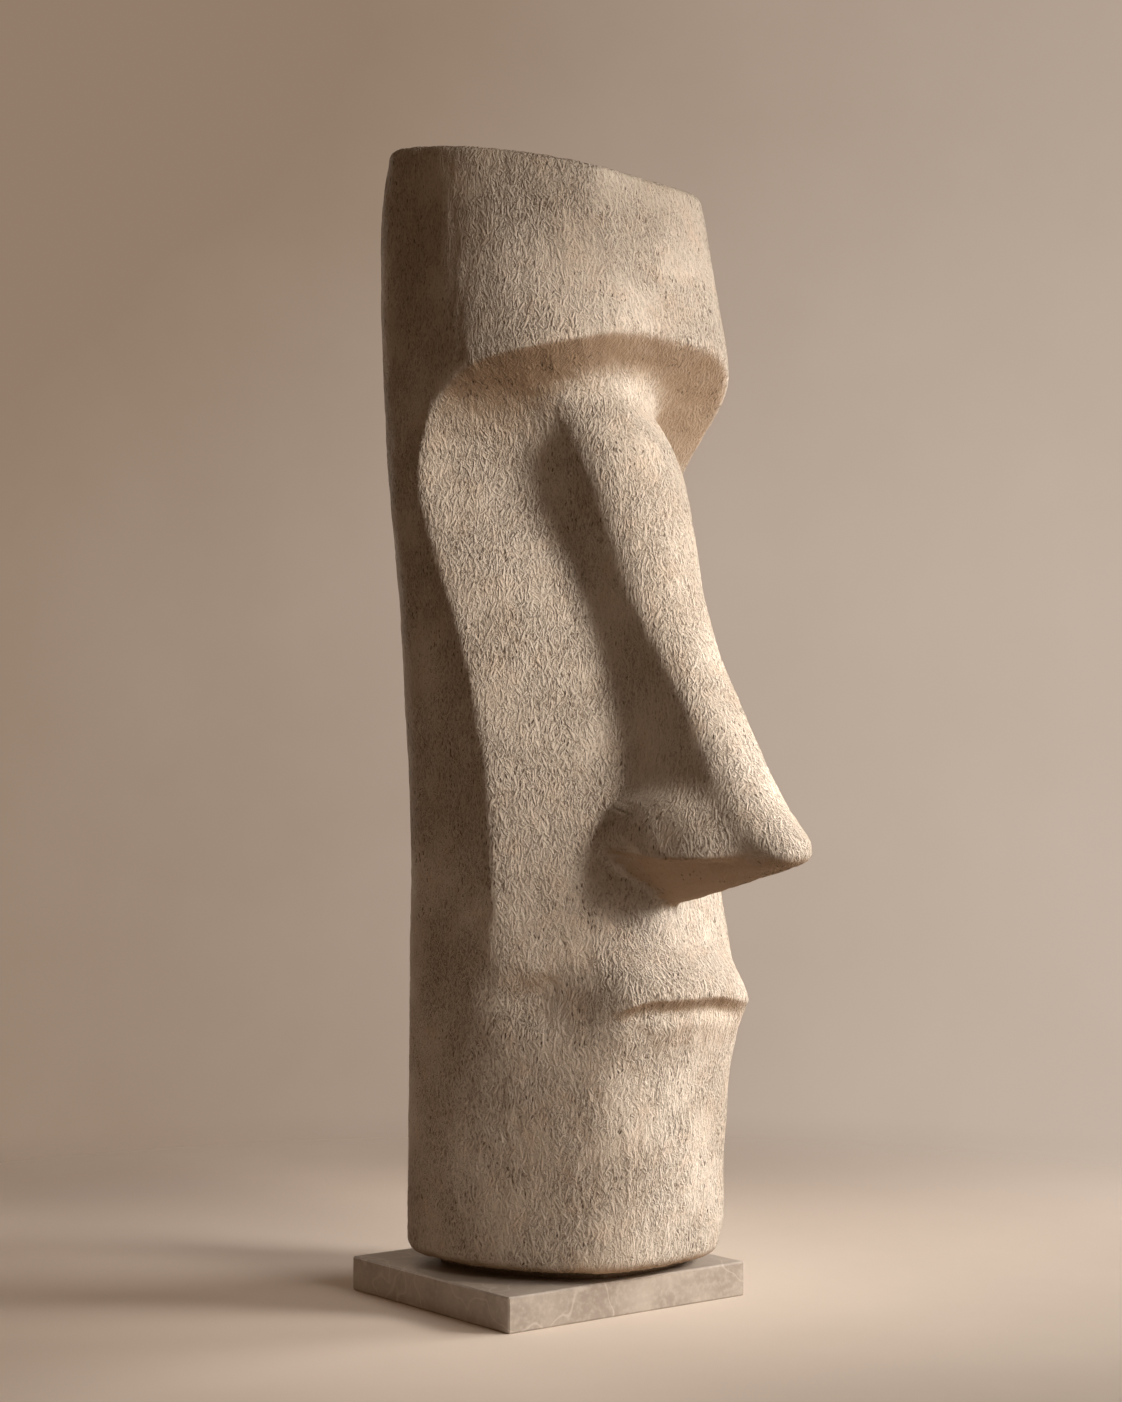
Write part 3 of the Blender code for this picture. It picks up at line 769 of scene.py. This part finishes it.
# ---------------------------------------------------------------- floor and backdrop
FLOOR_RADIUS = 3.2
FLOOR_SIDES = 128
FLOOR_FADE = (0.50, 1.30, 1.0, 0.0)  # it fades out over this range from its middle
FLOOR_NOISE = (3.0, 5.0, 0.6)
FLOOR_CLOUDING = 0.3
FLOOR_DIM = (0.54, 0.475, 0.41)
FLOOR_PALE = (0.90, 0.79, 0.69)
FLOOR_ROUGHNESS = 0.9
POOL = (0.30, -0.45, 0.0)  # where the lamps light the floor most: the floor is painted darker there and paler away from it, as painted light that evens out the lamps' falloff
POOL_RANGE = (0.05, 0.80)

WALL_RIGHT = (0.79, -0.61, 0.0)  # the way along the wall in which it's painted lighter, as painted light from the lamps' side
WALL_RANGE = (-0.32, 0.30)
WALL_NOISE = (3.5, 5.0, 0.6)
WALL_CLOUDING = 0.25
MOTTLE_NOISE = (13.0, 4.0, 0.6)
MOTTLING = 0.16
UPWARD_RANGE = (0.06, 0.32, 0.0, 0.36)  # the wall is painted darker upward, as painted shade
WALL_DIM = (0.29, 0.205, 0.145)
WALL_PALE = (0.56, 0.455, 0.375)
FILL = (0.105, 0.064, 0.037)  # the dim light from all round


def add_floor():
    """A round floor of pale plaster, painted paler away from where the lamps light it most as painted
    light, that fades out into the backdrop's colour.
    """
    material, shader, place = new_finish("pale_floor")
    from_pool = place.vector("DISTANCE", place, POOL, output="Value").ramp(*POOL_RANGE)
    # painted light: paler away from the lamps' pool, with real clouding on top
    painted_light_and_clouding = from_pool + (place.noise(*FLOOR_NOISE) - 0.5) * FLOOR_CLOUDING
    painted_light_and_clouding.limited().mix(FLOOR_DIM, FLOOR_PALE).feed(shader, "Base Color")
    place.vector("LENGTH", place, output="Value").ramp(*FLOOR_FADE).feed(shader, "Alpha")
    shader.inputs["Roughness"].default_value = FLOOR_ROUGHNESS
    bm = bmesh.new()
    bmesh.ops.create_circle(bm, cap_ends=True, segments=FLOOR_SIDES, radius=FLOOR_RADIUS)
    floor = add_object("floor", bm, material)


def add_backdrop():
    """A warm plaster wall, which is only seen and mirrored, painted lighter toward the right and darker
    upward as painted light and shade, and a dim warm light from all round.
    """
    world = bpy.data.worlds.new("studio")
    bpy.context.scene.world = world
    world.use_nodes = True
    tree = world.node_tree
    way = Wire.node(tree, "ShaderNodeTexCoord", {}, {}, "Generated")
    sideways = way.vector("DOT_PRODUCT", way, WALL_RIGHT, output="Value").ramp(*WALL_RANGE)
    upward = way.vector("DOT_PRODUCT", way, (0.0, 0.0, 1.0), output="Value").ramp(*UPWARD_RANGE)
    # painted light and shade across the wall, with real clouding and mottling
    shade = sideways - upward + (way.noise(*WALL_NOISE) - 0.5) * WALL_CLOUDING
    shade = shade + (way.noise(*MOTTLE_NOISE) - 0.5) * MOTTLING
    wall = shade.limited().mix(WALL_DIM, WALL_PALE)
    seen = Wire.node(tree, "ShaderNodeLightPath", {}, {}, "Is Camera Ray")
    glow = seen.or_more(seen.other("Is Glossy Ray")).mix(FILL, wall)
    glow.feed(tree.nodes["Background"], "Color")


# ---------------------------------------------------------------- lamps and camera
WARM = (1.0, 0.90, 0.80)
SOFT = (1.0, 0.93, 0.86)
NEUTRAL = (1.0, 0.95, 0.90)
# Each lamp's name, degrees round from the front, distance, height, size, power in watts, colour, the
# height that it's aimed at and its spread in degrees.
LAMPS = (
    ("key", 9.0, 1.6, 1.02, 0.9, 2.4, WARM, 0.60, 74.0),
    ("face", 5.0, 1.7, 1.10, 0.4, 0.8, WARM, 0.62, 32.0),
    ("side", 68.0, 1.5, 0.80, 0.6, 16.0, NEUTRAL, 0.45, 180.0),
    ("low", 40.0, 1.5, 0.85, 0.5, 1.4, SOFT, 0.12, 42.0),
    ("back", 172.0, 1.6, 0.95, 0.9, 0.8, SOFT, 0.60, 50.0),
)

CAMERA_PLACE = (-1.36147, -1.77149, 0.4462)
CAMERA_RISE = 2.0573  # degrees that it looks up
CAMERA_TURN = -37.855  # degrees round from looking along +Y
CAMERA_LENS = 64.0
CAMERA_SENSOR = 36.0
CAMERA_REACH = 60.0


def add_lamp(name, azimuth, distance, height, size, power, tint, aim, spread):
    """A round soft lamp that faces the head at the height of aim."""
    light = bpy.data.lights.new(name, "AREA")
    light.shape = "DISK"
    light.size = size
    light.energy = power
    light.color = tint
    light.spread = math.radians(spread)
    lamp = bpy.data.objects.new(name, light)
    turned = math.radians(azimuth)
    lamp.location = (math.sin(turned) * distance, -math.cos(turned) * distance, height)
    back = lamp.location - Vector((0.0, 0.0, aim))
    lamp.rotation_euler = back.to_track_quat("Z", "Y").to_euler()
    lamp.visible_camera = False
    bpy.context.scene.collection.objects.link(lamp)


def add_camera():
    camera = bpy.data.cameras.new("camera")
    camera.lens = CAMERA_LENS
    camera.sensor_width = CAMERA_SENSOR
    camera.clip_end = CAMERA_REACH
    viewer = bpy.data.objects.new("camera", camera)
    viewer.location = CAMERA_PLACE
    viewer.rotation_euler = (math.radians(90 + CAMERA_RISE), 0.0, math.radians(CAMERA_TURN))
    bpy.context.scene.collection.objects.link(viewer)
    bpy.context.scene.camera = viewer


add_floor()
add_backdrop()
for lamp_values in LAMPS:
    add_lamp(*lamp_values)
add_camera()
bpy.context.scene.view_settings.view_transform = "Standard"
